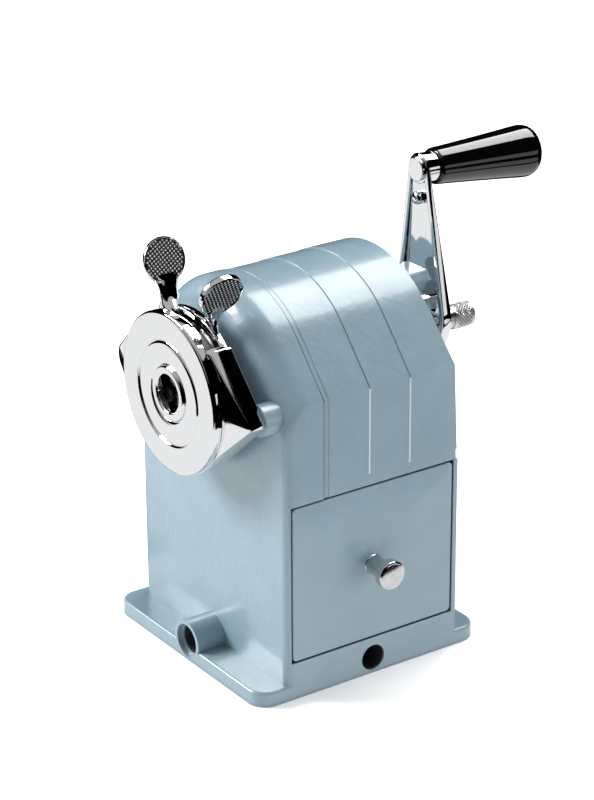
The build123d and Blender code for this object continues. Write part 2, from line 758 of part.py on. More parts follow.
def grip():
    """Black tapered handle with a rounded end."""
    start = grip_front + 0.3
    end = grip_front + grip_length
    bore = spindle_radius + fit
    handle = turned([(bore, start), (grip_small_radius - 0.4, start),
                     (grip_small_radius, start + 0.5), (grip_large_radius, end), (0, end),
                     (0, end - 5.7), (bore, end - 5.7)], 0, 0)
    handle = fillet(handle.edges().sort_by(Axis.Y)[-1], 3.0)
    return on_arm(Pos(0, 0, arm_reach) * handle)


def adjuster_knob():
    """Knurled knob behind the hub that sets how sharp the point becomes."""
    knob = round_y(2.0, (68.5, 79.5), 0, axis_z)
    knob += round_y(3.2, (78.1, 81.5), 0, axis_z)
    grip_part = round_y(knob_radius, (81.0, knob_rear), 0, axis_z)
    grip_part = chamfer(grip_part.edges().filter_by(GeomType.CIRCLE), 0.5)
    return knob + grip_part


wide = (-half_width - 5, half_width + 5)
casting = housing_casting()

pieces = {
    "base_front": base_front_part,
    "base_rear": base_rear_part,
    "front_shell": front_shell,
    "bay_walls": bay_walls,
    "screw_lugs": screw_lugs,
    "base_mat": base_mat,
    "top_cover": top_cover,
    "cover_screws": cover_screws,
    "front_bush": front_bush,
    "rear_bush": rear_bush,
    "ring_gear": ring_gear,
    "ring_gear_studs": gear_screws,
    "drawer_front": drawer_front,
    "drawer_tray": drawer_tray,
    "drawer_knob": drawer_knob,
    "drawer_knob_screw": knob_screw,
    "chuck_body": chuck_body,
    "chuck_face_disc": front_disc,
    "nose_collar": nose_collar,
    "guide_rod_left": lambda: guide_rod(-1),
    "guide_rod_right": lambda: guide_rod(1),
    "rod_clips": rod_clips,
    "rod_springs": rod_springs,
    "fixed_lever": fixed_lever,
    "jaw_guide": jaw_guide,
    "moving_lever": moving_lever,
    "cam_ring": cam_ring,
    "lever_spring": lever_spring,
    "jaw_top": lambda: jaw(90),
    "jaw_left": lambda: jaw(210),
    "jaw_right": lambda: jaw(330),
    "cutter_frame": cutter_frame,
    "crank_shaft": crank_shaft,
    "cutter": cutter,
    "cutter_pinion": pinion,
    "cutter_axle": cutter_axle,
    "point_stop": point_stop,
    "crank_arm": crank_arm,
    "grip_spindle": grip_spindle,
    "arm_rivet": arm_rivet,
    "grip": grip,
    "adjuster_knob": adjuster_knob,
}

for piece_name, make in pieces.items():
    save(piece_name, make())
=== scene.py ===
"""Looks of the desk pencil sharpener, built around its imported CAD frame.

Lengths below are in millimetres, measured like the CAD: x across, y from the housing's
front face towards the crank, z up from the desk.  place() turns them into frame metres.
Only the camera, the lights, the floor and the reflection cards are written in metres.
"""

import json
import math

import bmesh
import bpy
from mathutils import Matrix, Vector


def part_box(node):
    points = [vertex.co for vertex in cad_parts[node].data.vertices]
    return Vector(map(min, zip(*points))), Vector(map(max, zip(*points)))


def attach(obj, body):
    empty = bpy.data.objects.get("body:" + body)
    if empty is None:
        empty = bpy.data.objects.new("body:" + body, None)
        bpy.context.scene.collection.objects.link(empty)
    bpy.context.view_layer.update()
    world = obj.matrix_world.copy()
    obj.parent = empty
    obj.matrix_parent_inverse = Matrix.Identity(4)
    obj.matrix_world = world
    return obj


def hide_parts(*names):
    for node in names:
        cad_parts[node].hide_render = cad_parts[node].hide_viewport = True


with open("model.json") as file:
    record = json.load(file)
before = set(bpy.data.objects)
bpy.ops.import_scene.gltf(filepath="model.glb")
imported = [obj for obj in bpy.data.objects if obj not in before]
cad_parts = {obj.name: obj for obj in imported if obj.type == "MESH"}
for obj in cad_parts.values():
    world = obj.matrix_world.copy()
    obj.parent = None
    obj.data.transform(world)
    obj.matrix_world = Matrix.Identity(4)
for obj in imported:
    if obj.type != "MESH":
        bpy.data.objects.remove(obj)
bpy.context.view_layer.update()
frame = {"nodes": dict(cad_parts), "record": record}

MM = 0.001
FLANGE_FRONT = 9.0
front_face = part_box("base_front")[0].y + FLANGE_FRONT * MM
disc_low, disc_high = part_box("chuck_face_disc")
axis_z = (disc_low.z + disc_high.z) / 2 / MM


def place(x, y, z):
    """A point given in millimetres from the front face, in frame metres."""
    return Vector((x * MM, front_face + y * MM, z * MM))


# ---------------------------------------------------------------- node materials
def new_material(name, colour, metallic=0.0, roughness=0.5, coat=0.0, coat_roughness=0.1):
    """A Principled material and its node tree."""
    material = bpy.data.materials.new(name)
    material.use_nodes = True
    shader = material.node_tree.nodes["Principled BSDF"]
    shader.inputs["Base Color"].default_value = (*colour, 1)
    shader.inputs["Metallic"].default_value = metallic
    shader.inputs["Roughness"].default_value = roughness
    shader.inputs["Coat Weight"].default_value = coat
    shader.inputs["Coat Roughness"].default_value = coat_roughness
    return material, material.node_tree, shader


def noise(tree, size_mm, detail=2.0, stretch=(1, 1, 1)):
    """Noise whose grain is about size_mm across, fixed to the object."""
    coordinates = tree.nodes.new("ShaderNodeTexCoord")
    mapping = tree.nodes.new("ShaderNodeMapping")
    mapping.inputs["Scale"].default_value = [axis / (size_mm * MM) for axis in stretch]
    texture = tree.nodes.new("ShaderNodeTexNoise")
    texture.inputs["Scale"].default_value = 1.0
    texture.inputs["Detail"].default_value = detail
    tree.links.new(coordinates.outputs["Object"], mapping.inputs["Vector"])
    tree.links.new(mapping.outputs["Vector"], texture.inputs["Vector"])
    return texture.outputs["Fac"]


def spread(tree, value, low, high):
    """Map a 0..1 noise onto a range."""
    node = tree.nodes.new("ShaderNodeMapRange")
    node.inputs["From Min"].default_value = 0.3
    node.inputs["From Max"].default_value = 0.7
    node.inputs["To Min"].default_value = low
    node.inputs["To Max"].default_value = high
    tree.links.new(value, node.inputs["Value"])
    return node.outputs["Result"]


def tint(tree, value, dark, light):
    """Blend two colours by a 0..1 value."""
    ramp = tree.nodes.new("ShaderNodeValToRGB")
    ramp.color_ramp.elements[0].position = 0.3
    ramp.color_ramp.elements[1].position = 0.7
    ramp.color_ramp.elements[0].color = (*dark, 1)
    ramp.color_ramp.elements[1].color = (*light, 1)
    tree.links.new(value, ramp.inputs["Fac"])
    return ramp.outputs["Color"]


def bump(tree, shader, layers):
    """Stack bump layers, each a (height, depth in mm, strength)."""
    normal = None
    for height, depth_mm, strength in layers:
        node = tree.nodes.new("ShaderNodeBump")
        node.inputs["Strength"].default_value = strength
        node.inputs["Distance"].default_value = depth_mm * MM
        tree.links.new(height, node.inputs["Height"])
        if normal:
            tree.links.new(normal, node.inputs["Normal"])
        normal = node.outputs["Normal"]
    tree.links.new(normal, shader.inputs["Normal"])


def painted(name, grain):
    """Satin blue-grey coat over a casting; grain is how strong its orange peel is."""
    material, tree, shader = new_material(name, PAINT, roughness=0.36, coat=0.9, coat_roughness=0.18)
    mottled = tint(tree, noise(tree, 14), [c * 0.96 for c in PAINT], [c * 1.04 for c in PAINT])
    tree.links.new(mottled, shader.inputs["Base Color"])
    tree.links.new(spread(tree, noise(tree, 5), 0.32, 0.42), shader.inputs["Roughness"])
    bump(tree, shader, [(noise(tree, 1.9, 1), 0.13 * grain, 0.9), (noise(tree, 0.75), 0.05 * grain, 0.8)])
    return material


def plated(name, colour, roughness, ripple, metallic=1.0):
    """Bright plated metal with faint polishing marks and a slightly uneven surface."""
    material, tree, shader = new_material(name, colour, metallic=metallic, roughness=roughness)
    smears = spread(tree, noise(tree, 6, 3), roughness * 0.7, roughness * 1.5)
    tree.links.new(smears, shader.inputs["Roughness"])
    bump(tree, shader, [(noise(tree, 4, 1), ripple, 0.5), (noise(tree, 0.25, 2), ripple * 0.02, 0.4)])
    return material


def turned_steel(name, colour, roughness, stretch):
    """Steel with fine tool marks running one way."""
    material, tree, shader = new_material(name, colour, metallic=1.0, roughness=roughness)
    marks = noise(tree, 0.35, 3, stretch)
    tree.links.new(spread(tree, marks, roughness * 0.75, roughness * 1.3), shader.inputs["Roughness"])
    worn = tint(tree, noise(tree, 3), [c * 0.9 for c in colour], colour)
    tree.links.new(worn, shader.inputs["Base Color"])
    bump(tree, shader, [(marks, 0.01, 0.5)])
    return material


PAINT = (0.198, 0.288, 0.342)
paint_rough = painted("paint_orange_peel", 1.0)
paint_fine = painted("paint_fine", 0.45)
chrome = plated("chrome", (0.86, 0.87, 0.88), 0.045, 0.007)
# Near-black chrome for the floor between knurl studs: painted shade in the valleys.
painted_shade_chrome = plated("chrome_painted_shade", (0.05, 0.05, 0.052), 0.22, 0.02)
polished = turned_steel("polished_steel", (0.72, 0.72, 0.73), 0.12, (1, 1, 6))
machined = turned_steel("machined_steel", (0.45, 0.46, 0.47), 0.28, (1, 6, 1))
tips = plated("knurl_tips", (0.9, 0.9, 0.9), 0.42, 0.004, 0.72)
knurled = plated("knurled_steel", (0.74, 0.74, 0.74), 0.26, 0.004)
# Near-black steel for the jaws inside the pencil hole: painted shade for the hole's depth.
jaw_steel_painted_shade = turned_steel("jaw_steel_painted_shade", (0.09, 0.09, 0.095), 0.3, (1, 6, 1))
zinc = turned_steel("zinc_plated", (0.62, 0.63, 0.66), 0.3, (2, 2, 2))
bronze = turned_steel("bronze", (0.5, 0.33, 0.15), 0.35, (3, 1, 3))
spring_wire = turned_steel("spring_wire", (0.4, 0.41, 0.43), 0.25, (4, 4, 4))


def black_gloss():
    """Black lacquered grip with a hint of dust-fine texture."""
    material, tree, shader = new_material("black_gloss", (0.0015, 0.0015, 0.002), roughness=0.05,
                                          coat=0.6, coat_roughness=0.03)
    tree.links.new(spread(tree, noise(tree, 3, 3), 0.04, 0.08), shader.inputs["Roughness"])
    bump(tree, shader, [(noise(tree, 5, 1), 0.015, 0.4)])
    return material


def rubber_sheet():
    """Dull black sheet with a fabric-pressed grain, for the mat and for the painted shade laid in gaps
    and sockets.
    """
    material, tree, shader = new_material("rubber_and_painted_shade", (0.02, 0.02, 0.021), roughness=0.8)
    grain = noise(tree, 0.6, 3)
    tree.links.new(tint(tree, grain, (0.015, 0.015, 0.016), (0.03, 0.03, 0.031)),
                   shader.inputs["Base Color"])
    bump(tree, shader, [(grain, 0.15, 0.8)])
    return material


def tray_paint():
    """Plain grey enamel inside the drawer, scuffed by shavings."""
    material, tree, shader = new_material("tray_enamel", (0.10, 0.12, 0.135), roughness=0.45)
    scuffs = noise(tree, 2.5, 6, (1, 3, 1))
    tree.links.new(tint(tree, scuffs, (0.085, 0.10, 0.115), (0.14, 0.155, 0.165)),
                   shader.inputs["Base Color"])
    bump(tree, shader, [(noise(tree, 1.0), 0.03, 0.6)])
    return material


# Lighter blue-grey paint for the step chamfers: a painted highlight, not a different coat.
highlight_paint, _, _ = new_material("paint_painted_highlight", (0.62, 0.69, 0.74), roughness=0.3, coat=0.9)
gloss_black = black_gloss()
rubber_and_painted_shade = rubber_sheet()
enamel = tray_paint()

MATERIAL_OF_SLOT = {
    "painted_casting": paint_rough,
    "rubber_mat": rubber_and_painted_shade,
    "bronze": bronze,
    "machined_steel": machined,
    "zinc_plated": zinc,
    "tray_sheet": enamel,
    "chrome_plate": chrome,
    "spring_wire": spring_wire,
    "black_gloss": gloss_black,
}
slot_of = {part["node"]: part["material_slot"] for part in frame["record"]["subparts"]}


# ---------------------------------------------------------------- carried-over CAD nodes
def smooth_by_angle(node_object, degrees):
    """Smooth shading that keeps real edges, as a modifier so the mesh itself is untouched."""
    weld = node_object.modifiers.new("join", "WELD")
    weld.merge_threshold = 0.002 * MM
    group = bpy.data.node_groups.get("smooth_by_angle") or shading_group()
    shade = node_object.modifiers.new("shade", "NODES")
    shade.node_group = group
    shade[group.interface.items_tree["Angle"].identifier] = math.radians(degrees)


def shading_group():
    """Node group that shades edges below an angle smooth."""
    group = bpy.data.node_groups.new("smooth_by_angle", "GeometryNodeTree")
    group.interface.new_socket("Geometry", in_out="INPUT", socket_type="NodeSocketGeometry")
    angle = group.interface.new_socket("Angle", in_out="INPUT", socket_type="NodeSocketFloat")
    angle.default_value = 0.5
    group.interface.new_socket("Geometry", in_out="OUTPUT", socket_type="NodeSocketGeometry")
    nodes, links = group.nodes, group.links
    inside, outside = nodes.new("NodeGroupInput"), nodes.new("NodeGroupOutput")
    faces = nodes.new("GeometryNodeSetShadeSmooth")
    edges = nodes.new("GeometryNodeSetShadeSmooth")
    edges.domain = "EDGE"
    edge_angle = nodes.new("GeometryNodeInputMeshEdgeAngle")
    below = nodes.new("FunctionNodeCompare")
    below.operation = "LESS_THAN"
    links.new(inside.outputs["Geometry"], faces.inputs["Geometry"])
    links.new(faces.outputs["Geometry"], edges.inputs["Geometry"])
    links.new(edge_angle.outputs["Unsigned Angle"], below.inputs[0])
    links.new(inside.outputs["Angle"], below.inputs[1])
    links.new(below.outputs["Result"], edges.inputs["Shade Smooth"])
    links.new(edges.outputs["Geometry"], outside.inputs["Geometry"])
    return group


for node_name, node_object in frame["nodes"].items():
    node_object.data.materials.clear()
    # The jaws get the near-black steel as painted shade.
    material = jaw_steel_painted_shade if node_name.startswith("jaw") else MATERIAL_OF_SLOT[slot_of[node_name]]
    node_object.data.materials.append(material)
    smooth_by_angle(node_object, 28)


# ---------------------------------------------------------------- mesh building
def link_piece(name, mesh, material, body, replaced=(), angle=35):
    """Make a finished piece from a mesh: shade it, let it ride, give it its material."""
    piece = bpy.data.objects.new(name, mesh)
    bpy.context.scene.collection.objects.link(piece)
    mesh.materials.append(material)
    smooth_by_angle(piece, angle)
    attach(piece, body)
    if replaced:
        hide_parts(*replaced)
    return piece


def mesh_from(name, points, faces):
    """A mesh with doubled points joined and its faces turned outwards."""
    mesh = bpy.data.meshes.new(name)
    mesh.from_pydata([tuple(point) for point in points], [], faces)
    shape = bmesh.new()
    shape.from_mesh(mesh)
    bmesh.ops.remove_doubles(shape, verts=shape.verts, dist=1e-7)
    bmesh.ops.dissolve_degenerate(shape, edges=shape.edges, dist=1e-8)
    bmesh.ops.recalc_face_normals(shape, faces=shape.faces)
    shape.to_mesh(mesh)
    shape.free()
    return mesh


def skin(rows, cap_start=True, cap_end=True, close_rows=False):
    """Faces over closed rows of equally many points, with flat ends."""
    count = len(rows[0])
    points = [point for row in rows for point in row]
    faces = []
    last = len(rows) if close_rows else len(rows) - 1
    for index in range(last):
        start, after = index * count, (index + 1) % len(rows) * count
        for step in range(count):
            following = (step + 1) % count
            faces.append((start + step, start + following, after + following, after + step))
    if cap_start and not close_rows:
        faces.append(tuple(range(count)))
    if cap_end and not close_rows:
        faces.append(tuple(range((len(rows) - 1) * count, len(rows) * count)))
    return points, faces


def merged(*parts):
    """Several (points, faces) lists as one."""
    points, faces = [], []
    for part_points, part_faces in parts:
        offset = len(points)
        points += part_points
        faces += [tuple(index + offset for index in face) for face in part_faces]
    return points, faces


def moved(part, matrix):
    """A (points, faces) pair put through a matrix."""
    return [matrix @ Vector(point) for point in part[0]], part[1]


def softened(outline, radius, steps=5):
    """Closed 2D outline with its corners rounded, as far as the sides allow."""
    result = []
    count = len(outline)
    for index in range(count):
        before, corner, after = (Vector(outline[(index + turn) % count]) for turn in (-1, 0, 1))
        to_before, to_after = before - corner, after - corner
        reach = min(radius, 0.45 * to_before.length, 0.45 * to_after.length)
        start, end = corner + to_before.normalized() * reach, corner + to_after.normalized() * reach
        for step in range(steps + 1):
            share = step / steps
            point = start * (1 - share) ** 2 + corner * 2 * share * (1 - share) + end * share ** 2
            result.append(tuple(point))
    return result


def flowing(points, steps=6):
    """Smooth curve through points given as tuples."""
    vectors = [Vector(point) for point in points]
    result = []
    for index in range(len(vectors) - 1):
        p0 = vectors[max(index - 1, 0)]
        p1, p2 = vectors[index], vectors[index + 1]
        p3 = vectors[min(index + 2, len(vectors) - 1)]
        for step in range(steps):
            t = step / steps
            curve = 2 * p1 + (p2 - p0) * t + (2 * p0 - 5 * p1 + 4 * p2 - p3) * t ** 2
            curve += (3 * p1 - p0 - 3 * p2 + p3) * t ** 3
            result.append(tuple(curve / 2))
    result.append(tuple(vectors[-1]))
    return result


def lathe(outline, segments=192):
    """Ring mesh from a closed (radius, along y) outline, about the local Y axis."""
    rows = []
    for radius, along in outline:
        angles = [2 * math.pi * step / segments for step in range(segments)]
        rows.append([(radius * math.cos(a), along, radius * math.sin(a)) for a in angles])
    return skin(rows, close_rows=True)


def on_main_axis(y=0.0):
    """Matrix from local millimetres about the crank axis to the frame."""
    return Matrix.Translation(place(0, y, axis_z)) @ Matrix.Scale(MM, 4)


def turned_by(degrees):
    """Turn about the crank axis; positive leans towards +X."""
    return Matrix.Rotation(math.radians(degrees), 4, "Y")


# ---------------------------------------------------------------- chuck
DISC_FRONT = -13.3
DISC_BACK = -11.2
DISC_RADIUS = 22.65


def chuck_disc():
    """Polished face with a rolled rim, a ring groove and a softly dished middle."""
    front = DISC_FRONT
    face = flowing([(7.8, front + 0.9), (8.0, front + 0.62), (8.7, front + 0.3), (10.2, front + 0.12),
                    (12.0, front + 0.08), (13.5, front + 0.12), (14.2, front + 0.3),
                    (14.5, front + 0.46), (14.7, front + 0.36), (14.95, front + 0.1),
                    (15.6, front + 0.01), (18.0, front), (20.8, front), (21.85, front + 0.05),
                    (DISC_RADIUS - 0.22, front + 0.25), (DISC_RADIUS, front + 0.75)], 5)
    outline = face + [(DISC_RADIUS, DISC_BACK + 0.25), (DISC_RADIUS - 0.25, DISC_BACK), (7.8, DISC_BACK)]
    mesh = mesh_from("chuck_disc", *moved(lathe(outline, 256), on_main_axis()))
    link_piece("chuck_disc", mesh, chrome, "chuck", ["chuck_face_disc"])


def nose_ring():
    """Rounded steel lip around the pencil hole."""
    front = DISC_FRONT
    lip = flowing([(5.25, front + 0.7), (5.35, front + 0.2), (5.7, front - 0.08), (6.3, front - 0.14),
                   (7.0, front - 0.14), (7.45, front), (7.7, front + 0.4), (7.78, front + 0.9)], 5)
    outline = lip + [(7.78, DISC_BACK), (5.25, DISC_BACK)]
    mesh = mesh_from("nose_ring", *moved(lathe(outline, 160), on_main_axis()))
    link_piece("nose_ring", mesh, chrome, "chuck", ["nose_collar"])


PLATE_BACK = -4.0
DRUM_FRONT = -10.9
FLARE_SLOPE = 0.217
BOSS_FRONT = -8.2
BOSS_RADIUS = 7.0
BORE_RADIUS = 5.45
WINDOW_FRONT = -10.8
WINDOW_BACK = -6.2
POCKET = 19.3
DRUM = 22.2
PLATE_TOP = 22.6
PLATE_LOW = 22.4
SHOULDER = (17.2, 17.0)
LUG_TIP = 33.3
LUG_BLUNT = 0.7
ROD_X = 29.0
LUG_ROUND = 3.6
GROOVE = 21.6
GROOVE_TO = 62.0
WINDOW_FROM, WINDOW_TO = -36.0, 42.0


def round_lug(lift, radius):
    """Edge of the left lug: the plate's circle drawn out to a rounded end round the rod."""
    tangent = math.acos((radius - LUG_ROUND) / ROD_X)
    if lift >= tangent:
        return radius
    if lift > math.atan2(LUG_ROUND * math.sin(tangent), ROD_X + LUG_ROUND * math.cos(tangent)):
        return radius / math.cos(tangent - lift)
    return ROD_X * math.cos(lift) + math.sqrt(LUG_ROUND ** 2 - (ROD_X * math.sin(lift)) ** 2)


def plate_reach(turn):
    """Distance from the axis to the chuck plate's edge; turn runs from straight up to +X."""
    x, z = math.sin(turn), math.cos(turn)
    if x < 0:
        return round_lug(math.atan2(abs(z), -x), PLATE_TOP if z > 0 else PLATE_LOW)
    tangent = math.acos(PLATE_LOW / LUG_TIP)
    blunt_x = LUG_TIP - LUG_BLUNT * math.tan(math.pi / 2 - tangent)
    end_cap = blunt_x / max(x, 0.01)
    if z < 0:
        lift = math.atan2(-z, x)
        return PLATE_LOW if lift >= tangent else min(PLATE_LOW / math.cos(lift - tangent), end_cap)
    if math.atan2(x, z) < math.atan2(*SHOULDER):
        return PLATE_TOP
    edge = Vector((SHOULDER[0] - blunt_x, SHOULDER[1] - LUG_BLUNT))
    along = blunt_x * edge.y - LUG_BLUNT * edge.x
    return min(along / (x * edge.y - z * edge.x), end_cap)


def chuck_profile(turn, window):
    """One radial section of the chuck body, from the drum's front edge round to the pocket."""
    reach = plate_reach(turn)
    flare = DRUM_FRONT + (reach - DRUM) * FLARE_SLOPE
    pocket = GROOVE if WINDOW_TO <= math.degrees(turn) <= GROOVE_TO else POCKET
    back_edge = [(reach, PLATE_BACK - 0.4), (reach - 0.12, PLATE_BACK - 0.12), (reach - 0.4, PLATE_BACK)]
    inside = [(BORE_RADIUS, PLATE_BACK), (BORE_RADIUS, BOSS_FRONT), (BOSS_RADIUS, BOSS_FRONT),
              (BOSS_RADIUS, WINDOW_BACK)]
    if window:
        outer = [(DRUM, DISC_BACK), (DRUM, WINDOW_FRONT - 0.2), (DRUM - 0.2, WINDOW_FRONT),
                 (POCKET, WINDOW_FRONT), (POCKET, WINDOW_BACK), (reach - 0.3, WINDOW_BACK),
                 (reach - 0.1, WINDOW_BACK + 0.1), (reach, WINDOW_BACK + 0.3)]
    else:
        outer = [(DRUM, DISC_BACK), (DRUM, DRUM_FRONT - 0.08), (DRUM + 0.12, DRUM_FRONT),
                 (DRUM + 0.5, DRUM_FRONT + 0.08),
                 (max(reach - 1.0, DRUM + 0.6), flare - 0.25), (reach - 0.45, flare - 0.08),
                 (reach - 0.12, flare + 0.05), (reach, flare + 0.35)]
    front = WINDOW_FRONT if window else DISC_BACK
    return outer + back_edge + inside + [(pocket, WINDOW_BACK), (pocket, front)]


def chuck_columns():
    """Angles of the radial sections; each end of the window has two, one of each kind."""
    fine, columns = 1.5, []
    steps = round((WINDOW_TO - WINDOW_FROM) / fine)
    for step in range(steps + 1):
        columns.append((WINDOW_FROM + (WINDOW_TO - WINDOW_FROM) * step / steps, True))
    shoulder = math.degrees(math.atan2(*SHOULDER))
    tip = math.degrees(math.atan2(LUG_TIP, LUG_BLUNT))
    stops = [WINDOW_TO, shoulder - 0.05, shoulder + 0.05, GROOVE_TO, GROOVE_TO + 0.05, tip, 180 - tip,
             180, 360 + WINDOW_FROM]
    for start, end in zip(stops, stops[1:]):
        steps = max(1, round((end - start) / fine))
        columns += [(start + (end - start) * step / steps, False) for step in range(steps)]
    return columns + [(stops[-1], False)]


def chuck_shell():
    """Cup with a flared lug on each side and the window on top."""
    columns = chuck_columns()
    sections = [chuck_profile(math.radians(turn), window) for turn, window in columns]
    points, faces = [], []
    rows = len(sections[0])
    for (turn, _), section in zip(columns, sections):
        angle = math.radians(turn)
        points += [(r * math.sin(angle), y, r * math.cos(angle)) for r, y in section]
    opening = {(3, 4), (rows - 2, rows - 1)}
    for index in range(len(columns)):
        after = (index + 1) % len(columns)
        both = columns[index][1] and columns[after][1]
        for row in range(rows):
            below = (row + 1) % rows
            if both and (row, below) in opening:
                continue
            faces.append((index * rows + row, index * rows + below, after * rows + below,
                          after * rows + row))
    mesh = mesh_from("chuck_shell", *moved((points, faces), on_main_axis()))
    shell = link_piece("chuck_shell", mesh, chrome, "chuck", ["chuck_body"], 30)
    edges = shell.modifiers.new("edges", "BEVEL")
    edges.width = 0.28 * MM
    edges.segments = 3
    edges.limit_method = "ANGLE"
    edges.angle_limit = math.radians(40)
    shell.modifiers.move(len(shell.modifiers) - 1, 1)


MOVING_Y, MOVING_LEAN, MOVING_REACH = -7.275, -16.2, 35.0
FIXED_Y, FIXED_LEAN, FIXED_REACH = -5.1, 24.8, 34.0
PAD_RADIUS = 6.35
FIELD_RADIUS = 5.95
KNURL_PITCH = 0.92
RIM_RISE = 0.24


def knurl_field(side, floor):
    """Small four-sided studs over one face of a finger pad; the pad's axis is X."""
    parts = []
    steps = math.ceil(FIELD_RADIUS / KNURL_PITCH) + 1
    turn = math.radians(28)
    for row in range(-steps, steps + 1):
        for column in range(-steps, steps + 1):
            u, v = row * KNURL_PITCH, column * KNURL_PITCH
            y = u * math.cos(turn) - v * math.sin(turn)
            z = u * math.sin(turn) + v * math.cos(turn)
            if math.hypot(y, z) < FIELD_RADIUS - 0.25:
                parts.append(stud(side, floor, y, z, turn))
    return merged(*parts)


def stud(side, floor, y, z, turn):
    """One blunt pyramid standing on the pad's recessed floor."""
    rows = []
    for half, height in ((0.25, 0.0), (0.17, 0.09), (0.1, 0.13)):
        row = []
        for a, b in ((-1, -1), (1, -1), (1, 1), (-1, 1)):
            dy = half * (a * math.cos(turn) - b * math.sin(turn))
            dz = half * (a * math.sin(turn) + b * math.cos(turn))
            row.append((side * (floor + height), y + dy, z + dz))
        rows.append(row)
    return skin(rows)


def pad_disc(floor):
    """The finger pad with a smooth raised rim; floor is half the thickness inside it."""
    half = [(0.0, floor), (5.85, floor), (5.95, floor + 0.14), (6.06, floor + RIM_RISE),
            (6.2, floor + 0.2), (6.3, floor + 0.05), (PAD_RADIUS, floor * 0.75)]
    outline = half + [(radius, -along) for radius, along in reversed(half)]
    return moved(lathe(outline[:-1], 96), Matrix.Rotation(math.radians(90), 4, "Z"))


def stem(sections):
    """Oval bar lofted through (height, y centre, half width in y, half width in x)."""
    rows = []
    for height, middle, half_y, half_x in flowing(sections, 5):
        angles = [2 * math.pi * step / 32 for step in range(32)]
        rows.append([(half_x * math.cos(a), middle + half_y * math.sin(a), height) for a in angles])
    return skin(rows)


def band(inner, outer, start, end, front, back, edge=0.25):
    """Curved strip about the crank axis with rounded edges; angles in degrees from straight up."""
    corners = [(inner, front), (outer, front), (outer, back), (inner, back)]
    section = softened(corners, edge, 3)
    steps = max(3, round(abs(end - start) / 2))
    rows = []
    for step in range(steps + 1):
        angle = math.radians(start + (end - start) * step / steps)
        rows.append([(r * math.sin(angle), y, r * math.cos(angle)) for r, y in section])
    return skin(rows)


def finger_lever(name, y_middle, lean, reach, floor, stem_sections, extras, body, node):
    """Knurled pad on an oval stem, standing on the chuck."""
    pad_place = turned_by(lean) @ Matrix.Translation((0, y_middle, reach))
    smooth_parts = [moved(pad_disc(floor), pad_place), moved(stem(stem_sections), turned_by(lean))]
    mesh = mesh_from(name, *moved(merged(*smooth_parts, *extras), on_main_axis()))
    link_piece(name, mesh, chrome, body, [node], 40)
    for side, word in ((-1, "left"), (1, "right")):
        field = moved(knurl_field(side, floor), pad_place)
        knurls = mesh_from(f"{name}_knurl_{word}", *moved(field, on_main_axis()))
        link_piece(f"{name}_knurl_{word}", knurls, tips, body, (), 20)
        # The dark disc between the studs is painted shade.
        disc = moved(field_floor(side, floor), pad_place)
        painted_shade_disc = mesh_from(f"{name}_recess_{word}", *moved(disc, on_main_axis()))
        link_piece(f"{name}_recess_{word}", painted_shade_disc, painted_shade_chrome, body)


def field_floor(side, floor):
    """Thin disc between the studs, darkened as painted shade in the knurl's valleys."""
    low, high = side * (floor - 0.03), side * (floor + 0.02)
    outline = [(0, low), (5.88, low), (5.88, high), (0, high)]
    return moved(lathe(outline, 64), Matrix.Rotation(math.radians(-90), 4, "Z"))


def levers():
    """The lever that turns with the jaw ring, and the one that stands still."""
    extras = [band(19.4, 21.35, -34, 31, -10.8, -8.75, 0.25), band(18.5, 22.8, -26, 13, -7.6, -6.45, 0.3)]
    moving_stem = [(31.5, MOVING_Y, 4.4, 0.6), (30.2, MOVING_Y, 3.8, 0.8), (28.8, -7.3, 3.2, 1.0),
                   (27.2, -7.35, 2.85, 1.3), (25.8, -7.4, 2.8, 1.7), (24.6, -7.6, 2.6, 2.3),
                   (23.4, -8.2, 2.15, 3.2), (22.0, -8.5, 1.95, 4.2), (20.2, -8.5, 1.9, 4.9)]
    finger_lever("moving_finger_lever", MOVING_Y, MOVING_LEAN, MOVING_REACH, 0.45, moving_stem, extras,
                 "jaw_cam", "moving_lever")
    fixed_stem = [(30.5, FIXED_Y, 4.2, 0.7), (29.0, FIXED_Y, 3.5, 0.9), (27.6, FIXED_Y, 2.8, 1.0),
                  (26.2, FIXED_Y, 2.2, 1.3), (25.0, FIXED_Y, 1.6, 1.8), (24.0, FIXED_Y, 1.15, 2.6),
                  (22.7, FIXED_Y, 1.0, 3.6)]
    finger_lever("fixed_finger_lever", FIXED_Y, FIXED_LEAN, FIXED_REACH, 0.72, fixed_stem, [],
                 "chuck", "fixed_lever")


# ---------------------------------------------------------------- crank
ARM_FRONT = 70.4
ARM_SLANT = 2.8
ARM_LEAN = -5.4
ARM_REACH = 45.2
ARM_LOW = (4.1, 11.25)
ARM_HIGH = (ARM_REACH, 4.45)
HUB_DEPTH = 3.4
TOP_DEPTH = 1.1


def arm_matrix():
    """From the upright arm's local mm (hub at the origin, arm along z) to the frame."""
    lean = turned_by(ARM_LEAN)
    slant = Matrix.Translation((0, ARM_FRONT, 0)) @ Matrix.Rotation(math.radians(-ARM_SLANT), 4, "X")
    return on_main_axis() @ lean @ slant


def teardrop(inset, steps=28):
    """Arm outline, counter-clockwise: a big round end drawn up to a small one."""
    (low_z, low_r), (high_z, high_r) = ARM_LOW, ARM_HIGH
    tilt = math.asin((low_r - high_r) / (high_z - low_z))
    points = []
    for centre, radius, start, end in ((high_z, high_r, tilt, math.pi - tilt),
                                       (low_z, low_r, math.pi - tilt, 2 * math.pi + tilt)):
        for step in range(steps + 1):
            angle = start + (end - start) * step / steps
            reach = radius - inset
            points.append((reach * math.cos(angle), centre + reach * math.sin(angle)))
    return points


def arm_back(z):
    """Depth of the arm's rear face, which thins towards the top."""
    return HUB_DEPTH - (HUB_DEPTH - TOP_DEPTH) * z / ARM_REACH


def arm_row(inset, depth=None, from_back=None):
    """One loop of the arm's surface, at a depth or at a distance in front of its back."""
    row = []
    for x, z in teardrop(inset):
        y = depth if from_back is None else max(arm_back(z) - from_back, 0.35)
        row.append((x, y, z))
    return row


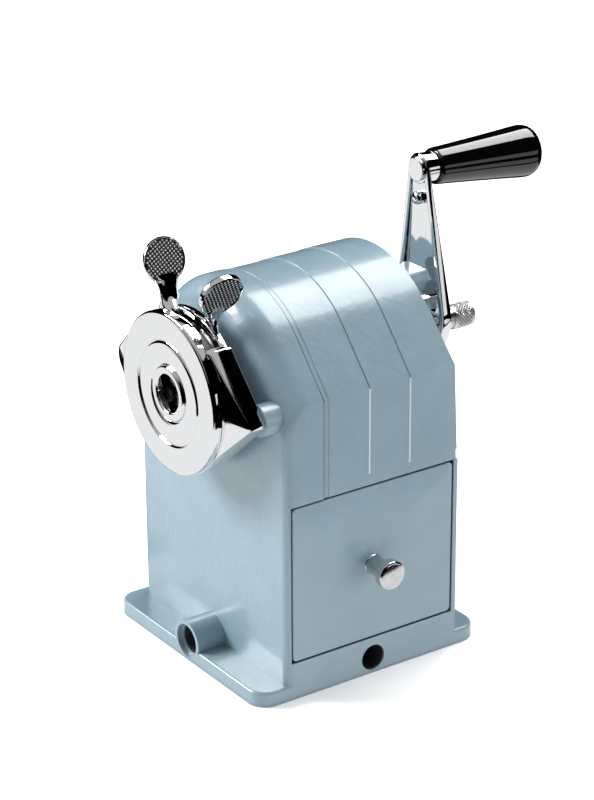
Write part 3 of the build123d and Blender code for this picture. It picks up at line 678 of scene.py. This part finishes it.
def crank_arm():
    """Channel-shaped arm: rounded rail all round, thin web, hub and spindle boss."""
    rows = [arm_row(0.5, from_back=0.0), arm_row(0.15, from_back=0.12), arm_row(0.0, from_back=0.4)]
    for step in range(6):
        turn = math.pi / 2 * step / 5
        rows.append(arm_row(0.55 * (1 - math.cos(turn)), 0.55 * (1 - math.sin(turn))))
    for step in range(5):
        turn = math.pi / 2 * step / 4
        rows.append(arm_row(1.5 + 0.5 * math.sin(turn), 0.5 * (1 - math.cos(turn))))
    rows += [arm_row(2.05, from_back=1.25), arm_row(2.15, from_back=1.08), arm_row(2.4, from_back=1.0)]
    frame_part = skin(rows)
    hub_edge = softened([(0, -2.1), (8.7, -2.1), (8.7, 2.9), (0, 2.9)], 0.6)
    boss = softened([(0, 0.0), (4.3, 0.0), (4.3, 4.8), (0, 4.8)], 0.35)
    boss_part = moved(lathe(boss, 96), Matrix.Translation((0, 0, ARM_REACH)))
    mesh = mesh_from("crank_channel", *moved(merged(frame_part, lathe(hub_edge, 128), boss_part),
                                             arm_matrix()))
    link_piece("crank_channel", mesh, chrome, "crank", ["crank_arm"], 30)
    neck = softened([(0, 72.4), (6.2, 72.4), (6.2, 76.6), (5.2, 78.0), (0, 78.0)], 0.7)
    mesh = mesh_from("hub_collar", *moved(lathe(neck, 128), on_main_axis()))
    link_piece("hub_collar", mesh, chrome, "crank", (), 30)


def spindle_head():
    """Riveted head of the grip's spindle, turned in rings."""
    outline = flowing([(0.0, -0.62), (0.5, -0.6), (0.75, -0.5), (1.0, -0.58), (1.9, -0.6), (2.15, -0.48),
                       (2.4, -0.52), (3.0, -0.45), (3.35, -0.2), (3.45, 0.1)], 5)
    part = lathe(outline + [(3.45, 0.3), (0.0, 0.3)], 96)
    placed = arm_matrix() @ Matrix.Translation((0, 0, ARM_REACH))
    mesh = mesh_from("spindle_head", *moved(part, placed))
    link_piece("spindle_head", mesh, chrome, "crank", (), 30)


def channel_rivet():
    """Round-headed rivet in the channel."""
    outline = flowing([(0.0, -1.42), (0.9, -1.32), (1.55, -1.0), (1.85, -0.5), (1.9, 0.0)], 5)
    part = lathe(outline + [(1.9, 0.45), (0.0, 0.45)], 64)
    placed = arm_matrix() @ Matrix.Translation((0, 0, ARM_REACH - 8.2))
    mesh = mesh_from("channel_rivet", *moved(part, placed))
    link_piece("channel_rivet", mesh, chrome, "crank", ["arm_rivet"], 30)


def handle_grip():
    """Black tapered grip with a small front bead and a rounded end."""
    start, end = 5.1, 39.7
    outline = flowing([(0.0, start), (4.3, start), (4.95, start + 0.12), (5.2, start + 0.6),
                       (5.32, start + 2.4)], 4)[1:]
    outline += flowing([(5.4, start + 4.0), (6.2, start + 15.0), (7.0, start + 25.0), (7.45, end - 4.0),
                        (7.32, end - 2.1), (6.6, end - 0.75), (5.2, end - 0.18), (3.0, end - 0.02),
                        (0.0, end)], 6)
    part = lathe([(0.0, start)] + outline, 160)
    placed = arm_matrix() @ Matrix.Translation((0, 0, ARM_REACH))
    mesh = mesh_from("handle_grip", *moved(part, placed))
    link_piece("handle_grip", mesh, gloss_black, "handle", ["grip"], 40)


def diamond_knurl(radius, start, end, depth, around=96, along=40):
    """Cylinder whose surface is cut by two crossing sets of helical grooves."""
    teeth, lead = 24, 24 / (2 * math.pi * radius)
    rows = []
    for step in range(along + 1):
        y = start + (end - start) * step / along
        fade = min(1.0, 4 * step / along, 4 * (along - step) / along)
        row = []
        for spot in range(around * 2):
            angle = 2 * math.pi * spot / (around * 2)
            turns = angle * teeth / (2 * math.pi)
            one = abs((turns + y * lead) % 1 - 0.5) * 2
            two = abs((turns - y * lead) % 1 - 0.5) * 2
            reach = radius - depth * (1 - min(one, two)) * fade - (1 - fade) * 0.3
            row.append((reach * math.cos(angle), y, reach * math.sin(angle)))
        rows.append(row)
    return skin(rows)


def adjuster():
    """Knurled adjuster behind the hub, on a smooth neck."""
    neck = softened([(0, 77.0), (3.2, 77.0), (3.2, 81.6), (0, 81.6)], 0.3)
    parts = merged(lathe(neck, 96), diamond_knurl(3.75, 81.0, 88.1, 0.28))
    mesh = mesh_from("knurled_adjuster", *moved(parts, on_main_axis()))
    link_piece("knurled_adjuster", mesh, knurled, "adjuster", ["adjuster_knob"], 25)


# ---------------------------------------------------------------- drawer
def pull_knob():
    """Turned pull: slim waist, spreading to a round polished head."""
    low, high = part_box("drawer_knob")
    middle = (low + high) / 2
    outline = flowing([(2.85, 0.0), (2.68, 0.5), (2.65, 2.6), (2.68, 4.4), (2.95, 5.2), (3.6, 5.85),
                       (4.0, 6.1), (4.15, 6.5), (4.15, 7.4), (4.15, 8.2), (4.0, 8.65), (3.6, 8.92),
                       (2.6, 9.1), (1.3, 9.22), (0.0, 9.26)], 5)
    part = lathe([(0.0, 0.0)] + outline, 128)
    placed = Matrix.Translation((low.x, middle.y, middle.z)) @ Matrix.Scale(MM, 4)
    placed = placed @ Matrix.Rotation(math.radians(-90), 4, "Z")
    mesh = mesh_from("drawer_pull", *moved(part, placed))
    link_piece("drawer_pull", mesh, polished, "drawer", ["drawer_knob"], 40)


# ---------------------------------------------------------------- seams and sockets in painted shade, step edges in painted highlight
HALF_WIDTH = 36.0
ARCH_RADIUS = 31.9
ARCH_CENTRE_Z = 77.9
ARCH_SLOPE = 41.8
COVER_LOW = 57.4
SEAM_Y = 12.06
SEAM_WIDTH = 0.54
BAY_Y = (1.6, 55.6)
BAY_Z = (10.95, 57.3)
# Place and width of the painted shade strip inside the drawer gap.
GAP_SHADE_X = (33.2, 35.6)
GAP_SHADE_WIDTH = 0.34
FRONT_SOCKET_Z = 5.9
SIDE_SOCKET = (28.7, 4.8)


def arch_line(inset, low_z):
    """Half-open outline of the arched housing as (x, z), from low on +X over to low on -X."""
    radius, half, slope = ARCH_RADIUS - inset, HALF_WIDTH - inset, math.radians(ARCH_SLOPE)
    tangent_x, tangent_z = radius * math.cos(slope), ARCH_CENTRE_Z + radius * math.sin(slope)
    bend_z = tangent_z - (half - tangent_x) / math.tan(slope)
    side = [(half, low_z + (bend_z - low_z) * step / 6) for step in range(7)]
    side += [(half + (tangent_x - half) * step / 6, bend_z + (tangent_z - bend_z) * step / 6)
             for step in range(1, 7)]
    arc = []
    for step in range(1, 24):
        turn = slope + (math.pi - 2 * slope) * step / 24
        arc.append((radius * math.cos(turn), ARCH_CENTRE_Z + radius * math.sin(turn)))
    return side + arc + [(-x, z) for x, z in reversed(side)]


def arch_strip(name, near, far, low_z, material):
    """Strip over the arch between two (inset, y) edges, given some thickness inwards."""
    rows = []
    for inset, y in (near, far, (far[0] + 0.6, far[1]), (near[0] + 0.6, near[1])):
        rows.append([(x, y, z) for x, z in arch_line(inset, low_z)])
    count, faces = len(rows[0]), []
    for index in range(4):
        after = (index + 1) % 4
        for step in range(count - 1):
            faces.append((index * count + step, index * count + step + 1, after * count + step + 1,
                          after * count + step))
    for end in (0, count - 1):
        faces.append(tuple(index * count + end for index in range(4)))
    points = [place(*point) for row in rows for point in row]
    link_piece(name, mesh_from(name, points, faces), material, "housing")


def drawer_gap_painted_shade():
    """Dark strip round the drawer opening, painted shade that shows as a black line in the gap."""
    (low_y, high_y), (low_z, high_z), (inner_x, outer_x) = BAY_Y, BAY_Z, GAP_SHADE_X
    rows = []
    for x, inset in ((inner_x, 0.0), (outer_x, 0.0), (outer_x, GAP_SHADE_WIDTH), (inner_x, GAP_SHADE_WIDTH)):
        corners = [(low_y + inset, low_z + inset), (high_y - inset, low_z + inset),
                   (high_y - inset, high_z - inset), (low_y + inset, high_z - inset)]
        rows.append([place(x, y, z) for y, z in corners])
    points, faces = skin(rows, close_rows=True)
    link_piece("drawer_gap_painted_shade", mesh_from("drawer_gap_painted_shade", points, faces), rubber_and_painted_shade, "housing")


def socket_shade_lining(name, radius, start, end, matrix):
    """Dark lining inside a clamp socket, painted shade for its unlit depth, starting a little behind its
    mouth.
    """
    outline = [(radius, start), (radius - 0.06, start), (radius - 0.06, end - 0.06), (0.0, end - 0.06),
               (0.0, end), (radius, end)]
    mesh = mesh_from(name, *moved(lathe(outline, 64), matrix))
    # The lining is painted shade, not a separate part.
    link_piece(name, mesh, rubber_and_painted_shade, "housing")


STEP_RISE = 0.27
STEP_Z = (60.6, 85.3)


def step_edge(name, y, inset):
    """Chamfer strip where a cover panel steps out, on both upright sides, in lighter paint as a painted
    highlight.
    """
    parts = []
    outer, inner = HALF_WIDTH - inset + STEP_RISE, HALF_WIDTH - inset
    for side in (-1, 1):
        row = [(side * inner, y - 0.28), (side * outer, y + 0.02), (side * (inner - 0.3), y + 0.02)]
        rows = [[(x, spot, z) for x, spot in row] for z in STEP_Z]
        parts.append(skin(rows))
    points, faces = merged(*parts)
    mesh = mesh_from(name, [place(*point) for point in points], faces)
    link_piece(name, mesh, highlight_paint, "housing")


def seams():
    """Painted shade as a black strip in the seam behind the front shell, painted highlights on the side
    step edges, painted shade as dark linings in the sockets.
    """
    step_edge("step_edge_front", 27.3, 0.3)
    step_edge("step_edge_rear", 40.5, 0.05)
    # The black strip in the front seam is painted shade, standing in for the gap's shadow.
    arch_strip("front_seam_painted_shade", (0.5, SEAM_Y), (0.5, SEAM_Y + SEAM_WIDTH), COVER_LOW, rubber_and_painted_shade)
    front = Matrix.Translation(place(0, 0, FRONT_SOCKET_Z)) @ Matrix.Scale(MM, 4)
    socket_shade_lining("front_socket_shade", 4.18, -6.9, 13.9, front)
    side = Matrix.Translation(place(0, *SIDE_SOCKET)) @ Matrix.Scale(MM, 4)
    side = side @ Matrix.Rotation(math.radians(-90), 4, "Z")
    socket_shade_lining("side_socket_shade", 3.75, -35.4, -22.1, side @ Matrix.Rotation(math.pi, 4, "Z"))


chuck_disc()
nose_ring()
chuck_shell()
levers()
crank_arm()
spindle_head()
channel_rivet()
handle_grip()
adjuster()
pull_knob()
seams()
drawer_gap_painted_shade()


# ---------------------------------------------------------------- camera, light, floor
def area_light(name, spot, target, size, power):
    """A square soft light pointed at a target."""
    data = bpy.data.lights.new(name, "AREA")
    data.size = size
    data.energy = power
    light = bpy.data.objects.new(name, data)
    bpy.context.scene.collection.objects.link(light)
    light.location = spot
    light.rotation_euler = (Vector(target) - Vector(spot)).to_track_quat("-Z", "Y").to_euler()
    return light


def make_camera():
    """Long lens, from the drawer side and a little above."""
    data = bpy.data.cameras.new("camera")
    data.lens = 125.974
    data.sensor_width = 36.0
    data.clip_end = 20.0
    camera = bpy.data.objects.new("camera", data)
    bpy.context.scene.collection.objects.link(camera)
    camera.location = (0.5816118, -0.4034981, 0.3736515)
    camera.rotation_euler = [math.radians(angle) for angle in (66.7334, 0.2368, 55.1052)]
    bpy.context.scene.camera = camera


def staged(name, points, faces, material, shows_to_camera=True):
    """A scenery mesh; a card is only seen in reflections."""
    mesh = bpy.data.meshes.new(name)
    mesh.from_pydata(points, [], faces)
    mesh.materials.append(material)
    piece = bpy.data.objects.new(name, mesh)
    bpy.context.scene.collection.objects.link(piece)
    if not shows_to_camera:
        piece.visible_camera = False
        piece.visible_diffuse = False
        piece.visible_shadow = False
        piece.visible_transmission = False


def make_floor():
    """Pale floor, large enough to reach past every view."""
    half = 6.0
    material, _, shader = new_material("floor_paper", (0.9, 0.9, 0.9), roughness=0.9)
    shader.inputs["Emission Color"].default_value = (1, 1, 1, 1)
    shader.inputs["Emission Strength"].default_value = 0.2
    corners = [(-half, -half, 0), (half, -half, 0), (half, half, 0), (-half, half, 0)]
    staged("floor", corners, [(0, 1, 2, 3)], material)


def glow(name, strength):
    """Plain emission, for a card that shows pale in reflections."""
    material, _, shader = new_material(name, (0, 0, 0), roughness=1.0)
    shader.inputs["Specular IOR Level"].default_value = 0.0
    shader.inputs["Emission Color"].default_value = (1, 1, 1, 1)
    shader.inputs["Emission Strength"].default_value = strength
    return material


CARD_HEIGHT = 0.0004
WALL_RADIUS = 1.6
WALL_LIFTS = (0, 20, 40, 56)


def reflection_cards():
    """Cards seen only in reflections: pale on the floor in front, black everywhere else."""
    black = glow("card_black", 0.0)
    low, far = CARD_HEIGHT, 3.0
    corners = [(-far, -far, low), (far, -far, low), (far, far, low), (-far, far, low)]
    staged("floor_card", corners, [(0, 1, 2, 3)], black, False)
    low = 2 * CARD_HEIGHT
    pale = [(-0.46, -0.05, low), (-0.46, -0.36, low), (-0.27, -0.36, low), (-0.25, -0.21, low),
            (-0.11, -0.21, low), (-0.085, -0.185, low), (0.13, -0.185, low),
            (0.13, 0.26, low), (-0.06, 0.26, low), (-0.06, -0.05, low)]
    staged("pale_card", pale, [tuple(range(len(pale)))], glow("card_pale", 0.92), False)
    rear = [(0.16, 0.15, low), (0.34, 0.15, low), (0.34, 0.32, low), (0.16, 0.32, low)]
    staged("rear_card", rear, [(0, 1, 2, 3)], glow("card_rear", 0.75), False)
    wall = [(1.40, 0.35, 0.0), (1.02, 1.05, 0.0), (1.02, 1.05, 0.32), (1.40, 0.35, 0.32)]
    staged("wall_pale", wall, [(0, 1, 2, 3)], glow("card_wall", 0.8), False)
    radius, points, faces = WALL_RADIUS, [], []
    turns = [math.radians(angle) for angle in range(-90, 226, 15)]
    for turn in turns:
        for lift in WALL_LIFTS:
            up = math.radians(lift)
            points.append((radius * math.cos(turn) * math.cos(up), radius * math.sin(turn) * math.cos(up),
                           radius * math.sin(up)))
    for index in range(len(turns) - 1):
        for step in range(len(WALL_LIFTS) - 1):
            start = index * len(WALL_LIFTS) + step
            after = start + len(WALL_LIFTS)
            faces.append((start, after, after + 1, start + 1))
    staged("wall_card", points, faces, black, False)


def make_world():
    """Even white surroundings."""
    world = bpy.data.worlds.new("world")
    bpy.context.scene.world = world
    world.use_nodes = True
    background = world.node_tree.nodes["Background"]
    background.inputs["Color"].default_value = (1, 1, 1, 1)
    background.inputs["Strength"].default_value = 0.45


make_camera()
make_floor()
reflection_cards()
make_world()
target = place(0, 30, 60)
area_light("key", (-0.60, -0.60, 0.55), target, 0.40, 14.0)
area_light("top", (-0.08, 0.45, 0.85), target, 0.6, 8.0)
side_fill = area_light("side_fill", (0.7, 0.45, 0.05), place(30, 40, 15), 0.4, 3.0)
side_fill.visible_glossy = False
bpy.context.scene.view_settings.view_transform = "Standard"
